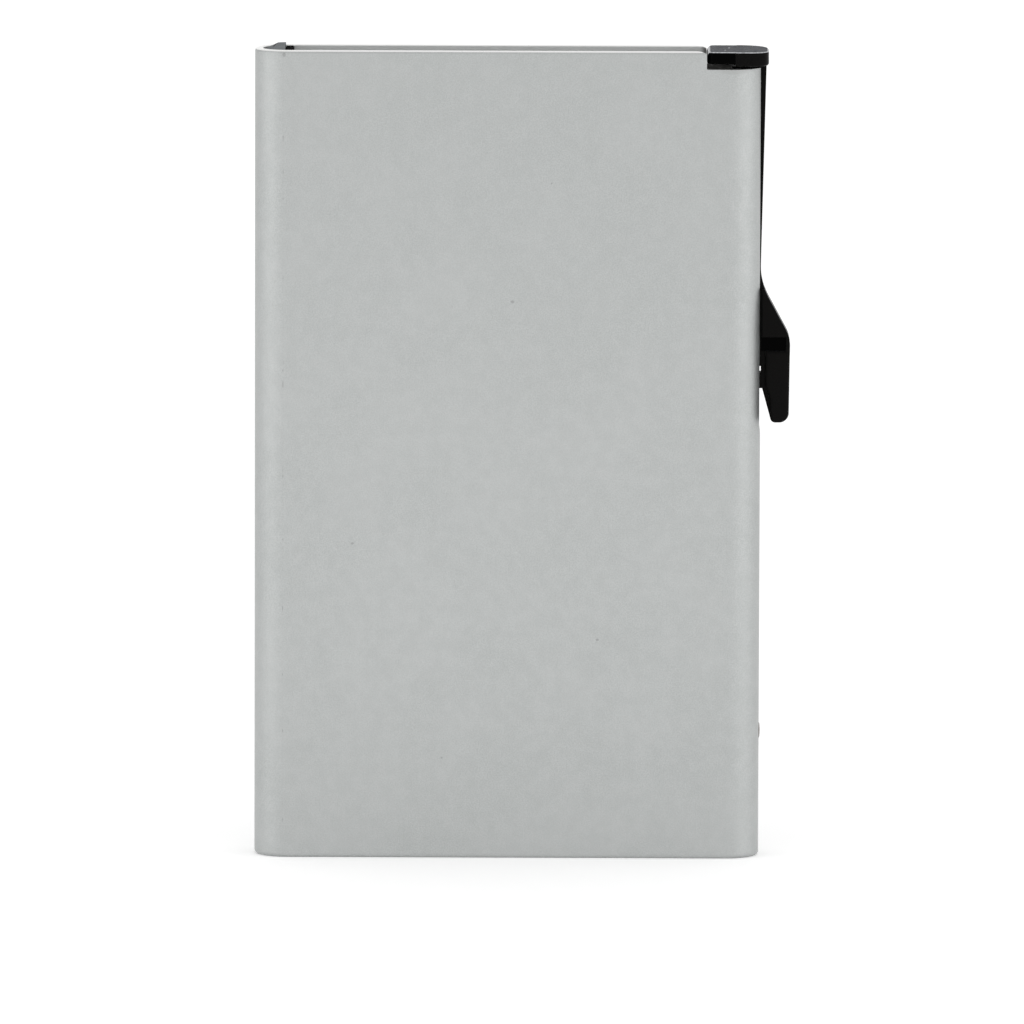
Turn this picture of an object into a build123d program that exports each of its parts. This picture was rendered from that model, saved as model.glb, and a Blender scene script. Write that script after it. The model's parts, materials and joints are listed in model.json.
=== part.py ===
from build123d import *
import os

# Pop-up card holder: a flat extruded aluminium tube, open at the top, that holds a stack of
# plastic cards. A slide in its right-hand side carries a stepped foot, which lifts the cards
# as a fan, and a sprung lever, whose hook lies over the cards' top edge until its tab is pressed.
# Millimetres. +X points to the lever, +Y to the back, +Z up.
# The origin is the centre of the tube's bottom face.

# ---- Cards: the standard wallet card sets the inside of the holder ----
card_width = 53.98
card_height = 85.6
card_side_play = 0.12
card_sink = 1.6

# ---- Tube ----
tube_width = 62.5
tube_depth = 9.0
tube_height = 100.3
tube_corner = 4.0
tube_wall = 1.0
rim_chamfer = 0.12
rim_fillet = 0.4
foot_fillet = 0.5
seat_gap = 0.03

notch_left = 24.45
notch_floor = 98.1
notch_shoulder_run = 1.3
notch_shoulder_drop = 0.35
notch_root = 0.15

slot_half = 1.5
slot_floor = 52.6

# ---- Bottom plug ----
plug_plate = 2.0
plug_edge = 0.15
post_length = 7.0
post_depth = 6.4
post_wall = 1.0
post_centres = (-21.0, -6.0)
screw_x = -28.8
screw_shank = 0.5
screw_head = 0.95
screw_sink = 0.1
screw_length = 7.0
recess_length = 1.1
recess_width = 0.25
recess_depth = 0.3

# ---- Left side: rail and friction strip ----
strip_face = -26.5
strip_thickness = 1.0
strip_half_depth = 3.0
strip_floor = 14.0
strip_top = 100.25
left_rail_top = 100.6
left_rail_front_top = 100.2
left_rail_low_top = 99.95
left_rail_shelf = (-29.0, 100.35)
left_rail_ridge_x = -28.45

# ---- Right side: channel rail ----
card_right = strip_face + card_width + card_side_play
lip_depth = 0.35
lip_half = 1.55
channel_back = 29.35
channel_half = 2.1
right_rail_top = 98.0
web_slot_floor = 50.7

# ---- Slide ----
slide_gap = 0.1
slide_stroke = 28.0
stop_gap = 0.05
clevis_floor = 58.5
clevis_top = 66.5
clevis_half = 1.25
ear_round = 0.5
pivot_x = 28.65
pivot_z = 64.1
pin_radius = 0.35
pin_seat_gap = 0.01

# ---- Stepped foot ----
foot_left = 2.0
foot_floor = 2.4
tread_count = 5
tread_depth = 1.35
tread_rise = 2.0
tread_gap = 0.1
foot_rivet_heights = (5.0, 9.5)
foot_rivet_shank = 0.5
foot_rivet_head = 0.8
foot_rivet_sink = 0.3
foot_rivet_reach = 2.4
tongue_gap = 0.15
core_size = (4.4, 2.0)
core_top = 8.4
core_count = 4
core_pitch = 5.6

# ---- Lever: outline of its blade seen from the front, as X and Z ----
blade_half = 1.15
lever_bore_gap = 0.05
boss_radius = 0.85
arm_outer_top = (31.86, 99.4)
arm_inner_x = 29.6
flare_start = (31.2, 71.5)
flare_start_radius = 8.0
flare_end = (34.9, 64.65)
flare_end_radius = 4.0
tab_outer_x = 34.76
tab_floor = 54.03
tab_tip_radius = 1.2
tab_inner_foot_x = 32.62
tab_inner_top = (31.45, 58.3)
nub_x = 31.05
nub_top = 60.2
relief_x = 31.3
stem_floor = 61.05
blade_round = 0.25

# ---- Lever: the wide part of its thumb tab, a pad and a wing with a groove between them ----
pad_half = 1.7
pad_inner_x = 31.8
pad_inner_floor = 58.9
pad_inner_knee = (32.4, 56.8)
pad_top = 62.95
pad_round = 0.5
wing_floor = 64.6
wing_top = 70.6
wing_inner_x = 31.4
wing_edge = 0.12
groove_end = 34.4
groove_wall_half = 1.55

# ---- Hook: the block at the top of the lever ----
hook_left = 24.47
hook_right = 32.1
hook_half = 4.5
hook_floor = 98.8
hook_top = 100.32
hook_left_corner = 1.0
hook_tip_round = 0.7
cap_left = 27.95
cap_half = 4.75
cap_floor = 98.5
cap_left_corner = 0.3
cap_front_corner = 2.2
cap_back_corner = 3.7
hook_top_fillet = 0.3
hook_floor_fillet = 0.15

# ---- Rivet through the tube's side ----
side_rivet_z = 15.5
side_rivet_shank = 0.6
side_rivet_head = 0.93
side_rivet_proud = 0.14
side_rivet_spot = 0.05
side_rivet_tail = 0.85
side_rivet_tail_rise = 0.25

# ---- Springs ----
leaf_thickness = 0.12
leaf_half = 0.9
leaf_floor = 51.4
leaf_bend_z = 55.2
leaf_touch_z = 58.95
leaf_top = 60.0
stake_z = 53.0
stake_radius = 0.35
stake_height = 0.3
stake_gap = 0.05
bow_floor = 29.0
bow_top = 45.0
bow_pocket_depth = 0.4
bow_half = 1.1
bow_clearance = 0.02
bow_pocket_margin = 1.0

# ---- Derived dimensions ----
bore_width = tube_width - 2 * tube_wall
bore_depth = tube_depth - 2 * tube_wall
bore_corner = tube_corner - tube_wall
seat_width = bore_width - 2 * seat_gap
seat_depth = bore_depth - 2 * seat_gap
seat_corner = bore_corner - seat_gap
card_floor = tube_height - card_sink - card_height
left_rail_face = strip_face - strip_thickness
lip_back = card_right + lip_depth
bar_front = lip_back + slide_gap
bar_back = channel_back - slide_gap
bar_half = channel_half - slide_gap
stem_front = card_right + slide_gap
stem_half = lip_half - slide_gap
bar_floor = plug_plate + stop_gap
stop_floor = clevis_top + slide_stroke + stop_gap
foot_right = stem_front - 0.25
foot_half = tread_count * tread_depth / 2
foot_top = card_floor - tread_gap
first_tread = foot_top - (tread_count - 1) * tread_rise
outside = tube_depth

os.makedirs("parts", exist_ok=True)


def seat_outline():
    """Plan outline of a piece that fills the tube's bore."""
    RectangleRounded(seat_width, seat_depth, seat_corner)


def span(low, high, half, mode=Mode.ADD):
    """Rectangle in the current sketch from low to high along X, and half to either side."""
    with Locations(((low + high) / 2, 0)):
        Rectangle(high - low, 2 * half, mode=mode)


def foot_rivet_outline(height):
    """Half section of one countersunk rivet that joins the stepped foot to the slide bar."""
    tip = stem_front - foot_rivet_reach
    with BuildLine() as half_section:
        Polyline(
            (tip, height),
            (tip, height + foot_rivet_shank),
            (bar_back - foot_rivet_sink, height + foot_rivet_shank),
            (bar_back, height + foot_rivet_head),
            (bar_back, height),
            close=True,
        )
    make_face(half_section.edges())


def side_rivet_outline():
    """Half section of the side rivet: countersunk tail, shank and low domed head."""
    tail = channel_back + seat_gap
    seat = tube_width / 2 - side_rivet_spot
    brim = tube_width / 2 + side_rivet_proud / 2
    crown = tube_width / 2 + side_rivet_proud
    with BuildLine() as half_section:
        Polyline(
            (crown, side_rivet_z),
            (tail, side_rivet_z),
            (tail, side_rivet_z + side_rivet_tail),
            (tail + side_rivet_tail_rise, side_rivet_z + side_rivet_shank),
            (seat, side_rivet_z + side_rivet_shank),
            (seat, side_rivet_z + side_rivet_head),
            (brim, side_rivet_z + side_rivet_head),
        )
        TangentArc(
            (crown, side_rivet_z),
            (brim, side_rivet_z + side_rivet_head),
            tangent=(0, 1),
        )
    make_face(half_section.edges())


def blade_outline():
    """Outline of the lever's blade: arm, flare, tab, nub and the stem that reaches the pivot."""
    with BuildLine() as blade_edge:
        FilletPolyline(
            (arm_inner_x, arm_outer_top[1]),
            arm_outer_top,
            flare_start,
            flare_end,
            (tab_outer_x, tab_floor),
            (tab_inner_foot_x, tab_floor),
            tab_inner_top,
            radius=[0, flare_start_radius, flare_end_radius, tab_tip_radius, tab_tip_radius / 2],
        )
        Polyline(
            tab_inner_top,
            (nub_x, tab_inner_top[1]),
            (nub_x, nub_top),
            (relief_x, nub_top),
            (relief_x, stem_floor),
            (arm_inner_x, stem_floor),
            (pivot_x, pivot_z - boss_radius),
            (pivot_x, pivot_z + boss_radius),
            (arm_inner_x, pivot_z + 3 * boss_radius),
            (arm_inner_x, arm_outer_top[1]),
        )
    make_face(blade_edge.edges())


def tab_window(inner, low, high):
    """Keep only the part of the current sketch outside inner, between two heights."""
    with Locations((inner, low)):
        Rectangle(tube_width, high - low, align=(Align.MIN, Align.MIN), mode=Mode.INTERSECT)


def across(height):
    """Axis along X at a height, for pieces turned about it."""
    return Axis((0, 0, height), (1, 0, 0))


# ---- Tube: extrusion with a notch for the hook and a side slot for the lever ----
with BuildPart() as case_tube:
    with BuildSketch():
        RectangleRounded(tube_width, tube_depth, tube_corner)
        RectangleRounded(bore_width, bore_depth, bore_corner, mode=Mode.SUBTRACT)
    extrude(amount=tube_height)
    chamfer(case_tube.faces().sort_by(Axis.Z)[-1].inner_wires().edges(), rim_chamfer)
    fillet(case_tube.faces().sort_by(Axis.Z)[-1].outer_wire().edges(), rim_fillet)
    fillet(case_tube.faces().sort_by(Axis.Z)[0].outer_wire().edges(), foot_fillet)
    shoulder_start = (notch_left - notch_shoulder_run, tube_height)
    shoulder_end = (notch_left, tube_height - notch_shoulder_drop)
    with BuildSketch(Plane.XZ):
        with BuildLine():
            Polyline(
                shoulder_end,
                (notch_left, notch_floor),
                (tube_width, notch_floor),
                (tube_width, tube_height + tube_wall),
                (shoulder_start[0], tube_height + tube_wall),
                shoulder_start,
            )
            TangentArc(shoulder_start, shoulder_end, tangent=(1, 0))
        notch_face = make_face()
        fillet(notch_face.vertices().sort_by_distance((notch_left, notch_floor))[0], notch_root)
    extrude(amount=outside, both=True, mode=Mode.SUBTRACT)
    with BuildSketch(Plane.YZ.offset(bore_width / 2 - tube_wall)):
        with Locations((0, slot_floor + slot_half)):
            Circle(slot_half)
            Rectangle(2 * slot_half, tube_height, align=(Align.CENTER, Align.MIN))
    extrude(amount=3 * tube_wall, mode=Mode.SUBTRACT)
    with Locations(Plane(origin=(tube_width / 2, 0, side_rivet_z), x_dir=(0, 1, 0), z_dir=(1, 0, 0))):
        CounterBoreHole(side_rivet_shank, side_rivet_head, side_rivet_spot, depth=2 * tube_wall)
case_tube.part.label = "case_tube"
export_step(case_tube.part, "parts/case_tube.step")

# ---- Bottom plug with two hollow posts that the cards stand on ----
with BuildPart() as end_plug:
    with BuildSketch():
        seat_outline()
    extrude(amount=plug_plate)
    chamfer(end_plug.faces().sort_by(Axis.Z)[0].edges(), plug_edge)
    with BuildSketch(Plane.XY.offset(plug_plate)):
        with Locations(*[(centre, 0) for centre in post_centres]):
            Rectangle(post_length, post_depth)
            Rectangle(post_length - 2 * post_wall, post_depth - 2 * post_wall, mode=Mode.SUBTRACT)
    extrude(amount=card_floor - plug_plate)
    with Locations(Plane(origin=(screw_x, 0, 0), x_dir=(1, 0, 0), z_dir=(0, 0, -1))):
        CounterSinkHole(screw_shank, screw_head, depth=plug_plate + 1, counter_sink_angle=90)
end_plug.part.label = "end_plug"
export_step(end_plug.part, "parts/end_plug.step")

# ---- Screw from below into the left rail ----
with BuildPart() as plug_screw:
    with BuildSketch(Plane.XZ):
        with BuildLine():
            Polyline(
                (screw_x, screw_sink),
                (screw_x + screw_head - screw_sink, screw_sink),
                (screw_x + screw_shank, screw_head - screw_shank),
                (screw_x + screw_shank, screw_length - screw_shank),
                (screw_x, screw_length),
                close=True,
            )
        make_face()
    revolve(axis=Axis((screw_x, 0, 0), (0, 0, 1)))
    with BuildSketch(Plane.XY.offset(screw_sink)):
        with Locations((screw_x, 0)):
            Rectangle(recess_length, recess_width)
            Rectangle(recess_width, recess_length)
    extrude(amount=recess_depth, mode=Mode.SUBTRACT)
plug_screw.part.label = "plug_screw"
export_step(plug_screw.part, "parts/plug_screw.step")

# ---- Left rail: fills the tube's left end, its top slopes down to the left and to the front ----
with BuildPart() as left_rail:
    with BuildSketch(Plane.XY.offset(plug_plate)):
        seat_outline()
        span(left_rail_face, tube_width, tube_depth, mode=Mode.SUBTRACT)
    extrude(amount=left_rail_top - plug_plate)
    with BuildSketch(Plane.XZ):
        with BuildLine():
            Polyline(
                (-tube_width / 2, left_rail_low_top),
                (-seat_width / 2, left_rail_low_top),
                left_rail_shelf,
                (left_rail_ridge_x, left_rail_top),
                (-tube_width / 2, left_rail_top),
                close=True,
            )
        make_face()
    extrude(amount=outside, both=True, mode=Mode.SUBTRACT)
    with BuildSketch(Plane.YZ):
        with BuildLine():
            Polyline(
                (-seat_depth / 2, left_rail_front_top),
                (seat_depth / 2, left_rail_top),
                (-seat_depth / 2, left_rail_top),
                close=True,
            )
        make_face()
    extrude(amount=-tube_width / 2, mode=Mode.SUBTRACT)
    with Locations(Plane(origin=(screw_x, 0, plug_plate), x_dir=(1, 0, 0), z_dir=(0, 0, -1))):
        Hole(screw_shank + pin_seat_gap, depth=screw_length - plug_plate + 1)
left_rail.part.label = "left_rail"
export_step(left_rail.part, "parts/left_rail.step")

# ---- Friction strip: felt that grips the cards' left edges ----
with BuildPart() as friction_strip:
    with BuildSketch(Plane.XY.offset(strip_floor)):
        span(left_rail_face, strip_face, strip_half_depth)
    extrude(amount=strip_top - strip_floor)
friction_strip.part.label = "friction_strip"
export_step(friction_strip.part, "parts/friction_strip.step")

# ---- Right rail: channel with lips, cut away above for the lever, with two end stops ----
with BuildPart() as right_rail:
    with BuildSketch(Plane.XY.offset(plug_plate)):
        seat_outline()
        span(-tube_width, card_right, tube_depth, mode=Mode.SUBTRACT)
        span(card_right, lip_back, lip_half, mode=Mode.SUBTRACT)
        span(lip_back, channel_back, channel_half, mode=Mode.SUBTRACT)
    extrude(amount=right_rail_top - plug_plate)
    with BuildSketch(Plane.XY.offset(stop_floor)):
        span(lip_back, channel_back, channel_half)
    extrude(amount=right_rail_top - stop_floor)
    with BuildSketch(Plane.XY.offset(web_slot_floor)):
        span(lip_back, tube_width, slot_half, mode=Mode.ADD)
    extrude(amount=tube_height, mode=Mode.SUBTRACT)
    with BuildSketch(Plane.XZ):
        side_rivet_outline()
    revolve(axis=across(side_rivet_z), mode=Mode.SUBTRACT)
right_rail.part.label = "right_rail"
export_step(right_rail.part, "parts/right_rail.step")

# ---- Rivet that holds the right rail in the tube ----
with BuildPart() as side_rivet:
    with BuildSketch(Plane.XZ):
        side_rivet_outline()
    revolve(axis=across(side_rivet_z))
side_rivet.part.label = "side_rivet"
export_step(side_rivet.part, "parts/side_rivet.step")

# ---- Slide bar: T section with a clevis for the lever ----
with BuildPart() as slider_bar:
    with BuildSketch(Plane.XY.offset(bar_floor)):
        span(stem_front, bar_front, stem_half)
        span(bar_front, bar_back, bar_half)
    extrude(amount=clevis_floor - bar_floor)
    with BuildSketch(Plane.XY.offset(clevis_floor)):
        span(bar_front, bar_back, bar_half)
        span(bar_front, bar_back, clevis_half, mode=Mode.SUBTRACT)
    extrude(amount=clevis_top - clevis_floor)
    fillet(slider_bar.faces().group_by(Axis.Z)[-1].edges().filter_by(Axis.Y), ear_round)
    with BuildSketch(Plane.XZ):
        with Locations((pivot_x, pivot_z)):
            Circle(pin_radius + pin_seat_gap)
    extrude(amount=outside, both=True, mode=Mode.SUBTRACT)
    with BuildSketch(Plane.YZ.offset(bar_back)):
        with Locations((0, (bow_floor + bow_top) / 2)):
            Rectangle(2 * bow_half + slide_gap, bow_top - bow_floor + bow_pocket_margin)
    extrude(amount=-bow_pocket_depth, mode=Mode.SUBTRACT)
    with BuildSketch(Plane.YZ.offset(bar_back)):
        with Locations((0, stake_z)):
            Circle(stake_radius)
    extrude(amount=stake_height)
    for height in foot_rivet_heights:
        with BuildSketch(Plane.XZ):
            foot_rivet_outline(height)
        revolve(axis=across(height), mode=Mode.SUBTRACT)
slider_bar.part.label = "slider_bar"
export_step(slider_bar.part, "parts/slider_bar.step")

# ---- Bow spring in the slide bar: rubs on the rail and holds the slide where it is put ----
with BuildPart() as detent_spring:
    bow_low = bar_back - bow_pocket_depth
    bow_crest = channel_back - bow_clearance
    bow_middle = (bow_floor + bow_top) / 2
    with BuildSketch(Plane.XZ):
        with BuildLine():
            ThreePointArc(
                (bow_low + leaf_thickness, bow_floor),
                (bow_crest, bow_middle),
                (bow_low + leaf_thickness, bow_top),
            )
            Line((bow_low + leaf_thickness, bow_top), (bow_low, bow_top))
            ThreePointArc(
                (bow_low, bow_top),
                (bow_crest - leaf_thickness, bow_middle),
                (bow_low, bow_floor),
            )
            Line((bow_low, bow_floor), (bow_low + leaf_thickness, bow_floor))
        make_face()
    extrude(amount=bow_half, both=True)
detent_spring.part.label = "detent_spring"
export_step(detent_spring.part, "parts/detent_spring.step")

# ---- Stepped foot: one tread for each card, the highest at the back ----
with BuildPart() as ejector:
    with BuildSketch(Plane.YZ.offset(foot_left)):
        for tread in range(tread_count):
            with Locations((tread * tread_depth - foot_half, foot_floor)):
                Rectangle(
                    tread_depth,
                    first_tread + tread * tread_rise - foot_floor,
                    align=(Align.MIN, Align.MIN),
                )
    extrude(amount=foot_right - foot_left)
    with BuildSketch(Plane.XY.offset(foot_floor)):
        span(foot_right - tread_depth, stem_front, stem_half)
    extrude(amount=foot_top - tongue_gap - foot_floor)
    with BuildSketch(Plane.XY.offset(foot_floor)):
        with Locations(((foot_left + foot_right) / 2 - core_pitch / 4, foot_half - tread_depth)):
            with GridLocations(core_pitch, 1, core_count, 1):
                Rectangle(*core_size)
    extrude(amount=core_top - foot_floor, mode=Mode.SUBTRACT)
    for height in foot_rivet_heights:
        with BuildSketch(Plane.XZ):
            foot_rivet_outline(height)
        revolve(axis=across(height), mode=Mode.SUBTRACT)
ejector.part.label = "ejector"
export_step(ejector.part, "parts/ejector.step")

# ---- Two rivets that join the stepped foot to the slide bar ----
with BuildPart() as ejector_rivets:
    for height in foot_rivet_heights:
        with BuildSketch(Plane.XZ):
            foot_rivet_outline(height)
        revolve(axis=across(height))
ejector_rivets.part.label = "ejector_rivets"
export_step(ejector_rivets.part, "parts/ejector_rivets.step")

# ---- Lever: hook, wide thumb pad and the flat blade that joins them to the pivot ----
with BuildPart() as hook_finger:
    with BuildSketch(Plane.XY.offset(hook_floor)) as finger_plan:
        span(hook_left, (cap_left + hook_right) / 2, hook_half)
        fillet(finger_plan.vertices().group_by(Axis.X)[0], hook_left_corner)
    extrude(amount=hook_top - hook_floor)
    fillet(hook_finger.faces().sort_by(Axis.Z)[-1].edges(), hook_top_fillet)
    fillet(hook_finger.faces().sort_by(Axis.Z)[0].edges(), hook_floor_fillet)
    with BuildSketch(Plane.XZ):
        with BuildLine():
            tip_start = (hook_left, hook_top - hook_tip_round)
            tip_end = (hook_left + hook_tip_round, hook_top)
            RadiusArc(tip_start, tip_end, hook_tip_round)
            Polyline(tip_end, (hook_left, hook_top), tip_start)
        make_face()
    extrude(amount=hook_half, both=True, mode=Mode.SUBTRACT)

with BuildPart() as hook_cap:
    with BuildSketch(Plane.XY.offset(cap_floor)) as cap_plan:
        span(cap_left, hook_right, cap_half)
        fillet(cap_plan.vertices().group_by(Axis.X)[0], cap_left_corner)
        fillet(cap_plan.vertices().group_by(Axis.X)[-1].sort_by(Axis.Y)[0], cap_front_corner)
        fillet(cap_plan.vertices().group_by(Axis.X)[-1].sort_by(Axis.Y)[-1], cap_back_corner)
    extrude(amount=hook_top - cap_floor)
    fillet(hook_cap.faces().sort_by(Axis.Z)[-1].edges(), hook_top_fillet)
    fillet(hook_cap.faces().sort_by(Axis.Z)[0].edges(), hook_top_fillet)

with BuildPart() as thumb_pad:
    with BuildSketch(Plane.XZ):
        blade_outline()
        with BuildLine():
            Polyline(
                (pad_inner_x, pad_top),
                (pad_inner_x, pad_inner_floor),
                pad_inner_knee,
                (pad_inner_knee[0], tab_floor - tube_wall),
                (tube_width, tab_floor - tube_wall),
                (tube_width, pad_top),
                close=True,
            )
        make_face(mode=Mode.INTERSECT)
    extrude(amount=pad_half, both=True)
    fillet(thumb_pad.faces().filter_by(Axis.Y).edges(), pad_round)

with BuildPart() as thumb_wing:
    with BuildSketch(Plane.XZ):
        blade_outline()
        tab_window(wing_inner_x, wing_floor, wing_top)
    extrude(amount=pad_half, both=True)
    chamfer(thumb_wing.faces().filter_by(Axis.Y).edges(), wing_edge)

with BuildPart() as groove_wall:
    with BuildSketch(Plane.XZ):
        blade_outline()
        tab_window(groove_end, pad_top - pad_round, wing_floor + pad_round)
    extrude(amount=groove_wall_half, both=True)

with BuildPart() as lever:
    with BuildSketch(Plane.XZ):
        blade_outline()
        with Locations((pivot_x, pivot_z)):
            Circle(boss_radius)
            Circle(pin_radius + lever_bore_gap, mode=Mode.SUBTRACT)
    extrude(amount=blade_half, both=True)
    fillet(lever.edges().filter_by(GeomType.LINE).sort_by(SortBy.LENGTH)[-4:], blade_round)
    add(hook_finger.part)
    add(hook_cap.part)
    add(thumb_pad.part)
    add(thumb_wing.part)
    add(groove_wall.part)
lever.part.label = "lever"
export_step(lever.part, "parts/lever.step")

# ---- Pivot pin ----
with BuildPart() as pivot_pin:
    with BuildSketch(Plane.XZ):
        with Locations((pivot_x, pivot_z)):
            Circle(pin_radius)
    extrude(amount=bar_half, both=True)
pivot_pin.part.label = "pivot_pin"
export_step(pivot_pin.part, "parts/pivot_pin.step")

# ---- Leaf spring: staked to the slide bar, pushes the lever's nub outwards ----
with BuildPart() as lever_spring:
    foot_x = bar_back + leaf_thickness / 2
    touch_x = nub_x - leaf_thickness / 2
    with BuildLine():
        leaf_path = FilletPolyline(
            (foot_x, 0, leaf_floor),
            (foot_x, 0, leaf_bend_z),
            (touch_x, 0, leaf_touch_z),
            (touch_x, 0, leaf_top),
            radius=1.0,
        )
    with BuildSketch(Plane.XY.offset(leaf_floor)):
        with Locations((foot_x, 0)):
            Rectangle(leaf_thickness, 2 * leaf_half)
    sweep(path=leaf_path)
    with BuildSketch(Plane.YZ.offset(bar_back)):
        with Locations((0, stake_z)):
            Circle(stake_radius + stake_gap)
    extrude(amount=2 * leaf_thickness, mode=Mode.SUBTRACT)
lever_spring.part.label = "lever_spring"
export_step(lever_spring.part, "parts/lever_spring.step")
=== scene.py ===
import json
import math
import random

import bpy
import bmesh
from mathutils import Matrix, Vector, noise


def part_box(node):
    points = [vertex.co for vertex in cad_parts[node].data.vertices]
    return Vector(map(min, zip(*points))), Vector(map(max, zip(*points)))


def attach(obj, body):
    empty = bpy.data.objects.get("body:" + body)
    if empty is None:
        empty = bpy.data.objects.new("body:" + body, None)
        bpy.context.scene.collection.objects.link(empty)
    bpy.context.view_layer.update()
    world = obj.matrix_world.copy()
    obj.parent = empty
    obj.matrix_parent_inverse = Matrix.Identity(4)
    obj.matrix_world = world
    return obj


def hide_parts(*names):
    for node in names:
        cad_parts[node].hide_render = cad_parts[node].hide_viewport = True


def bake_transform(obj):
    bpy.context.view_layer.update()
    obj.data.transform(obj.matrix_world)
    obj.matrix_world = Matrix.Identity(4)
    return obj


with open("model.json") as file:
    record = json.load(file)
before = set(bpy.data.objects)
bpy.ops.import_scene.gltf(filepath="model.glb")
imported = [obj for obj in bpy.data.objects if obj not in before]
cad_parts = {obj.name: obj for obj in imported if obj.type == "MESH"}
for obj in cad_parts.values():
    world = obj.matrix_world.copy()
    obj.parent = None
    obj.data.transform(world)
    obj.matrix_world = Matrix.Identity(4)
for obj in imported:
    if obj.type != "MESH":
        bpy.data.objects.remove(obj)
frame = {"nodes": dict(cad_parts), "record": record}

MM = 0.001

scene = bpy.context.scene
nodes = frame["nodes"]
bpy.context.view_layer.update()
tube_low, tube_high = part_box("case_tube")
tube_top = tube_high.z
tube_front = tube_low.y
tube_half = tube_high.x
tube_wall = 1 * MM
corner_radius = 4 * MM
round_start = tube_half - corner_radius
corner_y = -tube_front - corner_radius
bore_radius = corner_radius - tube_wall
tangent_shade_x = -round_start - 0.45 * MM
rail_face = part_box("friction_strip")[0].x
below_hook = tube_top - 3.3 * MM
cap_left = 27.93 * MM
hook_shadow_start = 23.6 * MM
groove_x = (31.3 * MM, 34.4 * MM)
groove_z = (62.9 * MM, 64.65 * MM)

# Handling marks: X, middle, half width and half length in millimetres.
dark_pits = (
    (0.6, 69.3, 0.30, 0.22),
    (11.2, 27.3, 0.25, 0.20),
    (-19.1, 39.2, 0.22, 0.18),
    (-27.6, 99.80, 0.26, 0.34),
    (5.4, 84.0, 0.14, 0.12),
    (-8.0, 12.5, 0.16, 0.14),
)
scuff_left = (-24.5, 95.0, 3.4, 1.2)
scuff_right = (28.3, 80.5, 2.2, 3.0)
notch_shadow_and_scuff = (27.8, 97.9, 2.4, 0.45)
hook_flecks = (
    (27.2, 0.8, 0.15, 0.70),
    (26.7, -2.2, 0.12, 0.55),
    (30.1, 2.6, 0.06, 0.35),
)


# ---------------------------------------------------------------- shader helpers

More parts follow.
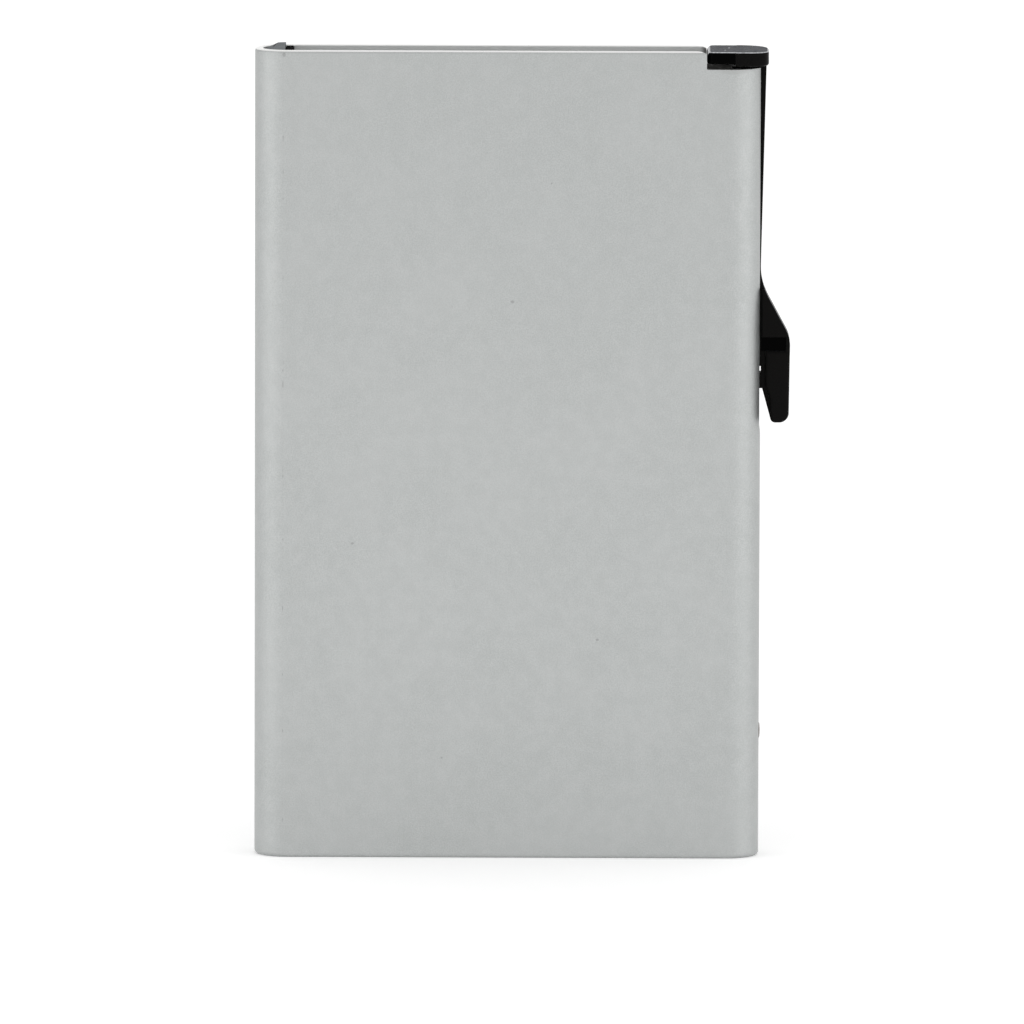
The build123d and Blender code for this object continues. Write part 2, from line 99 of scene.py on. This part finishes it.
class Shader:
    """A procedural material: short calls that add nodes and link them."""

    def __init__(self, name):
        self.material = bpy.data.materials.new(name)
        self.material.use_nodes = True
        self.tree = self.material.node_tree
        self.bsdf = self.tree.nodes["Principled BSDF"]
        self.place = self.tree.nodes.new("ShaderNodeTexCoord").outputs["Object"]
        split = self.tree.nodes.new("ShaderNodeSeparateXYZ")
        self.tree.links.new(self.place, split.inputs[0])
        self.x, self.y, self.z = split.outputs

    def feed(self, socket, value):
        if isinstance(value, bpy.types.NodeSocket):
            self.tree.links.new(value, socket)
        else:
            socket.default_value = value

    def math(self, operation, a, b=0.0, c=0.0):
        node = self.tree.nodes.new("ShaderNodeMath")
        node.operation = operation
        for socket, value in zip(node.inputs, (a, b, c)):
            self.feed(socket, value)
        return node.outputs[0]

    def times(self, a, b):
        return self.math("MULTIPLY", a, b)

    def ramp(self, value, low, high, to_low=0.0, to_high=1.0):
        """Value from low to high, smoothly turned into to_low to to_high."""
        node = self.tree.nodes.new("ShaderNodeMapRange")
        node.interpolation_type = "SMOOTHSTEP"
        for socket, item in zip(node.inputs, (value, low, high, to_low, to_high)):
            self.feed(socket, item)
        return node.outputs[0]

    def stretch(self, scale, turn=(0, 0, 0)):
        """Object coordinates scaled and turned: a scale under 1 draws the pattern out."""
        node = self.tree.nodes.new("ShaderNodeMapping")
        node.inputs["Scale"].default_value = scale
        node.inputs["Rotation"].default_value = turn
        self.tree.links.new(self.place, node.inputs[0])
        return node.outputs[0]

    def noise(self, cell, detail=2.0, rough=0.5, place=None, warp=0.0):
        """Noise whose features are about cell metres wide."""
        node = self.tree.nodes.new("ShaderNodeTexNoise")
        node.inputs["Scale"].default_value = 1 / cell
        node.inputs["Detail"].default_value = detail
        node.inputs["Roughness"].default_value = rough
        node.inputs["Distortion"].default_value = warp
        self.tree.links.new(place or self.place, node.inputs["Vector"])
        return node.outputs["Fac"]

    def cells(self, cell):
        """Distance to the nearest of scattered points, cell metres apart, in cells."""
        node = self.tree.nodes.new("ShaderNodeTexVoronoi")
        node.inputs["Scale"].default_value = 1 / cell
        self.tree.links.new(self.place, node.inputs["Vector"])
        return node.outputs["Distance"]

    def spots(self, cell, radius, seed):
        """1 inside rare small specks, 0 elsewhere."""
        node = self.tree.nodes.new("ShaderNodeTexVoronoi")
        node.inputs["Scale"].default_value = 1 / cell
        shifted = self.tree.nodes.new("ShaderNodeMapping")
        shifted.inputs["Location"].default_value = (seed * MM, -seed * MM, seed * 0.7 * MM)
        self.tree.links.new(self.place, shifted.inputs[0])
        self.tree.links.new(shifted.outputs[0], node.inputs["Vector"])
        return self.ramp(node.outputs["Distance"], radius * 0.6, radius, 1.0, 0.0)

    def oval(self, along, x, middle, half_x, half_along):
        """1 inside a soft oval, centred on x and on a middle along another coordinate."""
        right = self.math("DIVIDE", self.math("SUBTRACT", self.x, x * MM), half_x * MM)
        onward = self.math("DIVIDE", self.math("SUBTRACT", along, middle * MM), half_along * MM)
        distance = self.math("ADD", self.times(right, right), self.times(onward, onward))
        return self.ramp(distance, 0.2, 1.0, 1.0, 0.0)

    def mark(self, x, z, half_x, half_z):
        """1 inside a soft oval on the front, 0 elsewhere; millimetres."""
        return self.times(self.oval(self.z, x, z, half_x, half_z), self.front())

    def front(self):
        """1 on the front half of the object, 0 on the back half."""
        return self.ramp(self.y, -0.5 * MM, 0.0, 1.0, 0.0)

    def facing_up(self):
        """Z of the surface's direction: 1 on top faces, 0 on upright ones."""
        geometry = self.tree.nodes.new("ShaderNodeNewGeometry")
        facing = self.tree.nodes.new("ShaderNodeSeparateXYZ")
        to_object = self.tree.nodes.new("ShaderNodeVectorTransform")
        to_object.vector_type = "NORMAL"
        to_object.convert_from = "WORLD"
        to_object.convert_to = "OBJECT"
        self.tree.links.new(geometry.outputs["Normal"], to_object.inputs[0])
        self.tree.links.new(to_object.outputs[0], facing.inputs[0])
        return facing.outputs["Z"]

    def upward(self):
        """1 on faces that look up, 0 on the others."""
        return self.ramp(self.facing_up(), 0.90, 0.97)

    def between(self, value, low, high, soft):
        """1 between two positions, 0 outside them."""
        above = self.ramp(value, low - soft, low + soft)
        below = self.ramp(value, high - soft, high + soft, 1.0, 0.0)
        return self.times(above, below)

    def colour(self, factor, low, high):
        """Mix of two colours or colour sockets: low at factor 0, high at 1."""
        node = self.tree.nodes.new("ShaderNodeMix")
        node.data_type = "RGBA"
        self.feed(node.inputs["Factor"], factor)
        self.feed(node.inputs["A"], low if isinstance(low, bpy.types.NodeSocket) else (*low, 1))
        self.feed(node.inputs["B"], high if isinstance(high, bpy.types.NodeSocket) else (*high, 1))
        return node.outputs["Result"]

    def bump(self, height, depth, strength=1.0, over=None):
        """Height from 0 to 1 standing depth metres proud; over is a bump beneath it."""
        node = self.tree.nodes.new("ShaderNodeBump")
        node.inputs["Strength"].default_value = strength
        node.inputs["Distance"].default_value = depth
        self.feed(node.inputs["Height"], height)
        if over is not None:
            self.feed(node.inputs["Normal"], over)
        return node.outputs["Normal"]

    def finish(self, **inputs):
        """The material, with sockets or constants given to the surface by name."""
        for name, value in inputs.items():
            self.feed(self.bsdf.inputs[name.replace("_", " ")], value)
        return self.material


# ---------------------------------------------------------------- materials

def anodised_aluminium():
    """Fine blasted, clear anodised extrusion: matte grain, faint die lines, bright cut edges."""
    s = Shader("anodised_aluminium")
    grain = s.noise(0.16 * MM, 2.0, 0.6)
    pits = s.cells(0.21 * MM)
    cloud = s.noise(9 * MM, 3.0, 0.5)
    patches = s.noise(1.6 * MM, 2.0, 0.5)
    die_lines = s.noise(0.35 * MM, 2.0, 0.5, s.stretch((1, 1, 0.012)))
    tone = s.colour(s.ramp(grain, 0.3, 0.7), (0.409, 0.423, 0.418), (0.498, 0.511, 0.506))
    tone = s.colour(s.times(s.ramp(cloud, 0.3, 0.7), 0.35), tone, (0.493, 0.503, 0.500))
    tone = s.colour(s.times(s.ramp(patches, 0.35, 0.65), 0.12), tone, (0.399, 0.413, 0.407))
    # Painted shade: a faint darker line, with darker dots, where the flat front meets the left rounded
    # corner.
    tangent_shade_off = s.math("ABSOLUTE", s.math("SUBTRACT", s.x, tangent_shade_x))
    tangent_shade = s.times(s.ramp(tangent_shade_off, 0.02 * MM, 0.10 * MM, 1.0, 0.0), s.front())
    tangent_shade_dots = s.times(tangent_shade, s.ramp(s.noise(0.9 * MM, 2.0), 0.56, 0.68))
    tone = s.colour(s.times(tangent_shade, 0.10), tone, (0.40, 0.41, 0.41))
    tone = s.colour(s.times(tangent_shade_dots, 0.45), tone, (0.20, 0.20, 0.20))
    marks = 0.0
    for pit in dark_pits:
        marks = s.math("MAXIMUM", marks, s.mark(*pit))
    tone = s.colour(s.times(marks, 0.45), tone, (0.22, 0.22, 0.22))
    scratch_place = s.stretch((1, 1, 0.16), (0.0, 0.35, 0.0))
    scratch = s.ramp(s.noise(0.5 * MM, 1.0, 0.4, scratch_place), 0.66, 0.70)
    worn = s.math("MAXIMUM", s.mark(*scuff_left), s.mark(*scuff_right))
    tone = s.colour(s.times(s.times(scratch, worn), 0.14), tone, (0.70, 0.70, 0.70))
    # Painted shadow of the hook under the notch floor, mixed with wear: a darker grainy crescent.
    notch_shadow_and_wear = s.times(s.mark(*notch_shadow_and_scuff), s.ramp(grain, 0.4, 0.6))
    tone = s.colour(s.times(notch_shadow_and_wear, 0.40), tone, (0.30, 0.29, 0.28))
    rim = s.ramp(s.z, tube_top - 0.17 * MM, tube_top - 0.09 * MM)
    tone = s.colour(rim, tone, (0.95, 0.95, 0.94))
    past_x = s.math("MAXIMUM", s.math("SUBTRACT", s.math("ABSOLUTE", s.x), round_start), 0.0)
    past_y = s.math("MAXIMUM", s.math("SUBTRACT", s.math("ABSOLUTE", s.y), corner_y), 0.0)
    reach = s.math("SQRT", s.math("ADD", s.times(past_x, past_x), s.times(past_y, past_y)))
    inside = s.ramp(reach, bore_radius + 0.03 * MM, bore_radius + 0.09 * MM, 1.0, 0.0)
    # Painted light: the inner walls are painted much lighter than the outside, standing in for light
    # falling into the mouth.
    tone = s.colour(s.times(inside, 0.85), tone, (0.74, 0.75, 0.745))
    # Painted shadow of the hook: the inner wall towards the notch darkened in patches.
    hook_shadow = s.times(s.ramp(s.x, hook_shadow_start, hook_shadow_start + 0.8 * MM), s.ramp(patches, 0.3, 0.6, 0.8, 1.0))
    hook_shadowed = s.times(inside, hook_shadow)
    tone = s.colour(hook_shadowed, tone, (0.13, 0.125, 0.12))
    fine_roughness = s.ramp(grain, 0.25, 0.75, 0.46, 0.54)
    roughness = s.math("ADD", fine_roughness, s.ramp(patches, 0.3, 0.7, -0.02, 0.02))
    roughness = s.math("SUBTRACT", roughness, s.times(rim, 0.18))
    normal = s.bump(die_lines, 0.002 * MM, 0.5)
    normal = s.bump(pits, 0.010 * MM, 0.6, normal)
    normal = s.bump(grain, 0.014 * MM, 0.8, normal)
    return s.finish(Base_Color=tone, Metallic=1.0, Roughness=roughness, Normal=normal)


def moulded_plastic(name, dark, light, roughness, spread, texture, specular):
    """Moulded plastic with a fine spark-eroded texture, flow marks and a painted highlight on the rail
    end's top face.
    """
    s = Shader(name)
    fine = s.noise(0.12 * MM, 3.0, 0.6)
    flow = s.noise(2.4 * MM, 2.0, 0.5, s.stretch((1, 1, 0.25)), 0.6)
    tone = s.colour(s.ramp(fine, 0.3, 0.7), dark, light)
    dust = s.times(s.spots(1.1 * MM, 0.05, 3), s.ramp(s.noise(3 * MM), 0.45, 0.6))
    tone = s.colour(s.times(dust, 0.5), tone, (0.16, 0.155, 0.15))
    # Painted highlight: the rail end's top faces painted grey as if lit from above.
    lit_rail_top = s.times(s.upward(), s.ramp(s.x, rail_face + 0.1 * MM, rail_face + 0.2 * MM, 1.0, 0.0))
    painted_top_light = s.times(lit_rail_top, s.ramp(s.noise(0.4 * MM, 3.0), 0.3, 0.7, 0.75, 1.0))
    tone = s.colour(painted_top_light, tone, (0.150, 0.160, 0.168))
    rough = s.math("ADD", s.ramp(flow, 0.3, 0.7, roughness - spread, roughness + spread),
                   s.ramp(fine, 0.3, 0.7, -spread / 2, spread / 2))
    normal = s.bump(flow, 0.010 * MM, 0.4)
    normal = s.bump(fine, texture, 0.8, normal)
    return s.finish(Base_Color=tone, Roughness=rough, Specular_IOR_Level=specular, Normal=normal)


def gloss_plastic():
    """Glossy black moulding with hairline scratches, dust and worn, matte top faces; the tops are painted
    grey as a reflection of the light above, the hook's upper fillets carry a painted highlight, and the
    finger's front and the groove are painted darker as shade.
    """
    s = Shader("black_gloss_plastic")
    fine = s.noise(0.10 * MM, 3.0, 0.6)
    waves = s.noise(1.4 * MM, 1.0, 0.4)
    mottle = s.noise(0.30 * MM, 3.0, 0.65)
    upward = s.upward()
    tone = s.colour(s.ramp(fine, 0.3, 0.7), (0.0032, 0.0031, 0.0030), (0.0066, 0.0063, 0.0061))
    at_hook = s.ramp(s.z, below_hook, below_hook + 1 * MM)
    finger = s.times(s.between(s.x, 0.0, cap_left, 0.02 * MM), at_hook)
    groove = s.times(s.between(s.x, *groove_x, 0.05 * MM), s.between(s.z, *groove_z, 0.05 * MM))
    # Painted shade: the hook finger's front and the tab's groove painted near black.
    painted_shade = s.math("MAXIMUM", s.times(finger, 0.95), groove)
    tone = s.colour(painted_shade, tone, (0.0002, 0.0002, 0.0002))
    # Painted reflection: top faces painted grey as the light from above would show on them, fading towards
    # lower faces.
    painted_top_reflection = s.times(upward, s.ramp(mottle, 0.35, 0.65, 0.4, 1.0))
    painted_top_reflection = s.times(painted_top_reflection, s.ramp(s.z, below_hook - 7 * MM, below_hook - 2 * MM, 0.2, 1.0))
    tone = s.colour(painted_top_reflection, tone, (0.114, 0.118, 0.129))
    for fleck in hook_flecks:
        tone = s.colour(s.times(s.oval(s.y, *fleck), upward), tone, (0.40, 0.40, 0.41))
    # Painted highlight: a light band along the hook's upper fillets, where they turn from front to top.
    edge = s.times(s.between(s.facing_up(), 0.55, 0.88, 0.06), at_hook)
    tone = s.colour(s.times(edge, s.ramp(mottle, 0.35, 0.6, 0.6, 1.0)), tone, (0.55, 0.56, 0.58))
    dust = s.times(s.spots(0.9 * MM, 0.05, 11), s.ramp(s.noise(2.2 * MM), 0.5, 0.6))
    tone = s.colour(s.times(dust, 0.35), tone, (0.22, 0.21, 0.20))
    hair_place = s.stretch((0.05, 1, 1), (0.0, 0.5, 0.2))
    hairs = s.ramp(s.noise(0.22 * MM, 1.0, 0.4, hair_place), 0.68, 0.72)
    rough = s.math("ADD", s.ramp(waves, 0.3, 0.7, 0.24, 0.32), s.times(hairs, 0.12))
    rough = s.math("ADD", rough, s.times(upward, 0.26))
    normal = s.bump(waves, 0.012 * MM, 0.35)
    normal = s.bump(hairs, 0.0015 * MM, 0.6, normal)
    normal = s.bump(s.times(mottle, upward), 0.020 * MM, 0.8, normal)
    return s.finish(Base_Color=tone, Roughness=rough, Specular_IOR_Level=0.02, Normal=normal)


def felt():
    """Dense short pile: matted fibres with a soft sheen."""
    s = Shader("black_felt")
    fibre = s.noise(0.10 * MM, 4.0, 0.7, None, 2.0)
    clump = s.noise(0.8 * MM, 3.0, 0.6)
    tone = s.colour(s.ramp(fibre, 0.3, 0.7), (0.001, 0.001, 0.001), (0.006, 0.006, 0.0062))
    tone = s.colour(s.times(s.ramp(clump, 0.4, 0.7), 0.3), tone, (0.009, 0.0088, 0.0085))
    normal = s.bump(clump, 0.08 * MM, 0.7)
    normal = s.bump(fibre, 0.06 * MM, 1.0, normal)
    s.bsdf.inputs["Sheen Weight"].default_value = 0.02
    s.bsdf.inputs["Sheen Roughness"].default_value = 0.5
    return s.finish(Base_Color=tone, Roughness=0.95, Specular_IOR_Level=0.02, Normal=normal)


def steel(name, dark, light, roughness, along):
    """Rolled or turned steel: fine lines along one direction, slight tarnish."""
    s = Shader(name)
    lines = s.noise(0.05 * MM, 2.0, 0.5, s.stretch(along))
    tarnish = s.noise(0.7 * MM, 3.0, 0.6)
    tone = s.colour(s.ramp(lines, 0.3, 0.7), dark, light)
    tone = s.colour(s.times(s.ramp(tarnish, 0.5, 0.75), 0.3), tone, dark)
    rough = s.math("ADD", s.ramp(lines, 0.3, 0.7, roughness - 0.05, roughness + 0.05),
                   s.ramp(tarnish, 0.4, 0.7, 0.0, 0.08))
    normal = s.bump(lines, 0.002 * MM, 0.6)
    return s.finish(Base_Color=tone, Metallic=1.0, Roughness=rough, Normal=normal)


finishes = {
    "anodised_aluminium": anodised_aluminium(),
    "black_plastic": moulded_plastic(
        "black_plastic", (0.006, 0.006, 0.0065), (0.015, 0.015, 0.016), 0.62, 0.06, 0.016 * MM, 0.15
    ),
    "black_gloss_plastic": gloss_plastic(),
    "dark_acetal": moulded_plastic(
        "dark_acetal", (0.022, 0.022, 0.023), (0.034, 0.034, 0.035), 0.42, 0.05, 0.006 * MM, 0.4
    ),
    "spring_steel": steel("spring_steel", (0.36, 0.355, 0.35), (0.52, 0.515, 0.51), 0.30, (1, 1, 0.03)),
    "rivet_steel": steel("rivet_steel", (0.20, 0.185, 0.17), (0.38, 0.35, 0.33), 0.42, (1, 0.2, 0.2)),
    "black_steel": steel("black_steel", (0.030, 0.030, 0.031), (0.070, 0.070, 0.072), 0.45, (0.2, 0.2, 1)),
    "black_felt": felt(),
}

for part in frame["record"]["subparts"]:
    for material_slot in nodes[part["node"]].material_slots:
        material_slot.material = finishes[part["material_slot"]]


# ---------------------------------------------------------------- pieces

def add_piece(name, mesh, slot_name):
    piece = bpy.data.objects.new(name, mesh)
    scene.collection.objects.link(piece)
    mesh.materials.append(finishes[slot_name])
    return piece


def shade_smooth(mesh):
    mesh.polygons.foreach_set("use_smooth", [True] * len(mesh.polygons))


def apply_modifiers(piece):
    """Puts the mesh with the modifiers applied in place of the piece's plain one."""
    bpy.context.view_layer.update()
    evaluated = piece.evaluated_get(bpy.context.evaluated_depsgraph_get())
    mesh = bpy.data.meshes.new_from_object(evaluated)
    piece.modifiers.clear()
    piece.data = mesh


def felt_strip():
    """The friction strip as a soft pad: rounded edges, matted surface and loose fibres."""
    low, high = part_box("friction_strip")
    centre = (low + high) / 2
    size = high - low
    bm = bmesh.new()
    bmesh.ops.create_cube(bm, size=1.0)
    bmesh.ops.scale(bm, vec=size - Vector((0.10, 0.10, 0.10)) * MM, verts=bm.verts)
    bmesh.ops.translate(bm, vec=centre, verts=bm.verts)
    bmesh.ops.bevel(bm, geom=bm.edges[:], offset=0.16 * MM, segments=3, profile=0.5, affect="EDGES")
    long_edges = [e for e in bm.edges if abs(e.verts[0].co.z - e.verts[1].co.z) > 20 * MM]
    bmesh.ops.subdivide_edges(bm, edges=long_edges, cuts=260, use_grid_fill=True)
    wide_edges = [e for e in bm.edges if abs(e.verts[0].co.y - e.verts[1].co.y) > 3 * MM]
    bmesh.ops.subdivide_edges(bm, edges=wide_edges, cuts=16, use_grid_fill=True)
    bm.normal_update()
    for vert in bm.verts:
        rise = noise.noise(vert.co / (0.45 * MM)) * 0.035 + noise.noise(vert.co / (1.9 * MM)) * 0.02
        vert.co += vert.normal * rise * MM
    mesh = bpy.data.meshes.new("felt_strip")
    bm.to_mesh(mesh)
    bm.free()
    shade_smooth(mesh)
    strip = add_piece("felt_strip", mesh, "black_felt")
    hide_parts("friction_strip")
    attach(strip, "case")

    chance = random.Random(7)
    bm = bmesh.new()
    inner = Vector((0.06, 0.06, 0.0)) * MM
    for number in range(900):
        on_top = number < 260
        root = Vector((
            chance.uniform(low.x + inner.x, high.x - inner.x) if on_top else high.x - 0.05 * MM,
            chance.uniform(low.y + inner.y, high.y - inner.y),
            high.z - 0.05 * MM if on_top else high.z - 0.1 * MM - chance.random() ** 2 * 30 * MM,
        ))
        lean = Vector((chance.uniform(-1, 1), chance.uniform(-1, 1), chance.uniform(-1, 1)))
        out = Vector((0, 0, 1)) if on_top else Vector((1, 0, 0))
        length = chance.uniform(0.06, 0.17) * MM
        half = 0.008 * MM
        side = out.orthogonal().normalized() * half
        other = out.cross(side).normalized() * half
        rings = []
        for step in range(3):
            share = step / 2
            point = root + out * length * share + lean * length * 0.5 * share * share
            thin = 1 - 0.6 * share
            rings.append([
                bm.verts.new(point + side * thin),
                bm.verts.new(point - side * 0.5 * thin + other * thin),
                bm.verts.new(point - side * 0.5 * thin - other * thin),
            ])
        for first, second in zip(rings, rings[1:]):
            for i in range(3):
                j = (i + 1) % 3
                bm.faces.new((first[i], first[j], second[j], second[i]))
        bm.faces.new(rings[-1])
        bm.faces.new(reversed(rings[0]))
    mesh = bpy.data.meshes.new("felt_fibres")
    bm.to_mesh(mesh)
    bm.free()
    shade_smooth(mesh)
    fibres = add_piece("felt_fibres", mesh, "black_felt")
    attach(fibres, "case")


def leaf_spring():
    """The lever's leaf spring as one bent strip between the slide and the lever."""
    low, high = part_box("lever_spring")
    thickness = 0.12 * MM
    half = (high.y - low.y) / 2
    foot_x = low.x + thickness / 2
    touch_x = high.x - thickness / 2
    bend_z = low.z + 3.8 * MM
    touch_z = low.z + 7.55 * MM
    stake_z = low.z + 1.6 * MM
    corners = [Vector((foot_x, 0, low.z)), Vector((foot_x, 0, bend_z)),
               Vector((touch_x, 0, touch_z)), Vector((touch_x, 0, high.z))]
    path = [corners[0]]
    for before, corner, after in zip(corners, corners[1:], corners[2:]):
        to_before = (before - corner).normalized()
        to_after = (after - corner).normalized()
        turn = math.pi - to_before.angle(to_after)
        reach = 1.0 * MM * math.tan(turn / 2)
        start, end = corner + to_before * reach, corner + to_after * reach
        for step in range(9):
            share = step / 8
            path.append((1 - share) ** 2 * start + 2 * share * (1 - share) * corner + share * share * end)
    path.append(corners[3])
    dense = [path[0]]
    for first, second in zip(path, path[1:]):
        pieces = max(1, math.ceil((second - first).length / (0.18 * MM)))
        dense += [first.lerp(second, (i + 1) / pieces) for i in range(pieces)]
    bm = bmesh.new()
    columns = 10
    rows = []
    for point in dense:
        tip = max(0.0, point.z - (high.z - 0.5 * MM)) / (0.5 * MM)
        width = half * (1 - 0.18 * tip * tip)
        rows.append([
            bm.verts.new(point + Vector((0, width * (2 * i / columns - 1), 0)))
            for i in range(columns + 1)
        ])
    for first, second in zip(rows, rows[1:]):
        for i in range(columns):
            bm.faces.new((first[i], first[i + 1], second[i + 1], second[i]))
    mesh = bpy.data.meshes.new("leaf_spring")
    bm.to_mesh(mesh)
    bm.free()
    leaf = add_piece("leaf_spring", mesh, "spring_steel")
    solid = leaf.modifiers.new("thickness", "SOLIDIFY")
    solid.thickness = thickness
    solid.offset = 0.0
    drill_mesh = bpy.data.meshes.new("drill")
    bm = bmesh.new()
    bmesh.ops.create_cone(bm, cap_ends=True, segments=32, radius1=0.40 * MM, radius2=0.40 * MM,
                          depth=2 * MM, matrix=Matrix.Translation((foot_x, 0, stake_z))
                          @ Matrix.Rotation(math.pi / 2, 4, "Y"))
    bm.to_mesh(drill_mesh)
    bm.free()
    drill = bpy.data.objects.new("drill", drill_mesh)
    scene.collection.objects.link(drill)
    hole = leaf.modifiers.new("stake_hole", "BOOLEAN")
    hole.operation = "DIFFERENCE"
    hole.solver = "EXACT"
    hole.object = drill
    edge = leaf.modifiers.new("edges", "BEVEL")
    edge.width = 0.025 * MM
    edge.segments = 2
    edge.limit_method = "ANGLE"
    edge.angle_limit = math.radians(50)
    apply_modifiers(leaf)
    bpy.data.objects.remove(drill)
    for polygon in leaf.data.polygons:
        polygon.use_smooth = abs(polygon.normal.y) < 0.5
    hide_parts("lever_spring")
    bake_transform(leaf)


felt_strip()
leaf_spring()


# ---------------------------------------------------------------- studio

def stage_plane(name, half_x, half_y, centre_y, z, material):
    bm = bmesh.new()
    bmesh.ops.create_grid(bm, x_segments=1, y_segments=1, size=1.0)
    bmesh.ops.scale(bm, vec=(half_x, half_y, 1), verts=bm.verts)
    bmesh.ops.translate(bm, vec=(0, centre_y, z), verts=bm.verts)
    mesh = bpy.data.meshes.new(name)
    bm.to_mesh(mesh)
    bm.free()
    mesh.materials.append(material)
    plane = bpy.data.objects.new(name, mesh)
    scene.collection.objects.link(plane)
    return plane


def floor_material():
    s = Shader("pale_floor")
    fibre = s.noise(0.6 * MM, 3.0, 0.6)
    tone = s.colour(s.ramp(fibre, 0.3, 0.7), (0.93, 0.93, 0.93), (0.96, 0.96, 0.96))
    near = s.ramp(s.y, -0.10, -0.04, 0.46, 0.22)
    glow = s.times(near, s.ramp(s.y, -0.50, -0.20, 0.05, 1.0))
    return s.finish(
        Base_Color=tone,
        Roughness=0.9,
        Specular_IOR_Level=0.1,
        Normal=s.bump(fibre, 0.01 * MM, 0.3),
        Emission_Color=(1, 1, 1, 1),
        Emission_Strength=glow,
    )


def area_light(name, place, aim, width, height, power, colour=(1, 1, 1)):
    data = bpy.data.lights.new(name, "AREA")
    data.shape = "RECTANGLE"
    data.size = width
    data.size_y = height
    data.energy = power
    data.color = colour
    light = bpy.data.objects.new(name, data)
    scene.collection.objects.link(light)
    light.location = place
    light.rotation_euler = (Vector(place) - Vector(aim)).to_track_quat("Z", "Y").to_euler()
    light.visible_camera = False
    return light


def brightness(tree, value, stops):
    """World brightness by a direction's coordinate, as position and level pairs."""
    node = tree.nodes.new("ShaderNodeValToRGB")
    tree.links.new(value, node.inputs[0])
    while len(node.color_ramp.elements) < len(stops):
        node.color_ramp.elements.new(0.5)
    for element, (position, level) in zip(node.color_ramp.elements, stops):
        element.position = position
        element.color = (level, level, level, 1)
    return node.outputs[0]


def white_world():
    """White all round, a little dimmer overhead and to the sides behind the object."""
    world = bpy.data.worlds.new("studio")
    scene.world = world
    world.use_nodes = True
    tree = world.node_tree
    background = tree.nodes["Background"]
    background.inputs["Color"].default_value = (1.0, 1.0, 1.0, 1.0)
    direction = tree.nodes.new("ShaderNodeTexCoord").outputs["Generated"]
    split = tree.nodes.new("ShaderNodeSeparateXYZ")
    tree.links.new(direction, split.inputs[0])
    product = tree.nodes.new("ShaderNodeMath")
    product.operation = "MULTIPLY"
    overhead = brightness(tree, split.outputs["Z"], ((0.30, 1.0), (0.95, 0.86)))
    behind = brightness(tree, split.outputs["Y"], ((0.0, 1.0), (0.30, 0.90), (0.85, 0.90), (0.97, 1.0)))
    tree.links.new(overhead, product.inputs[0])
    tree.links.new(behind, product.inputs[1])
    tree.links.new(product.outputs[0], background.inputs["Strength"])


def studio():
    white_world()
    stage_plane("floor", 3.0, 3.0, 0.0, -0.02 * MM, floor_material())
    aim = (0, 0, tube_top / 2)
    area_light("left_softbox", (-0.85, -0.42, 0.22), aim, 1.0, 0.9, 1.40)
    area_light("right_softbox", (0.85, -0.42, 0.22), aim, 1.0, 0.9, 1.50)


def camera():
    elevation, azimuth, roll = math.radians(7.15), math.radians(0.3), math.radians(0.17)
    distance = 1.95
    target = Vector((tube_half * 0.0198, tube_front, tube_top * 0.4305))
    toward = Vector((
        math.sin(azimuth) * math.cos(elevation),
        -math.cos(azimuth) * math.cos(elevation),
        math.sin(elevation),
    ))
    data = bpy.data.cameras.new("camera")
    data.sensor_width = 36
    data.lens = 555.1
    data.clip_start = 0.01
    data.clip_end = 20
    view = bpy.data.objects.new("camera", data)
    scene.collection.objects.link(view)
    view.location = target + toward * distance
    turned = toward.to_track_quat("Z", "Y").to_matrix() @ Matrix.Rotation(roll, 3, "Z")
    view.rotation_euler = turned.to_euler()
    scene.camera = view


studio()
camera()
scene.view_settings.view_transform = "Standard"
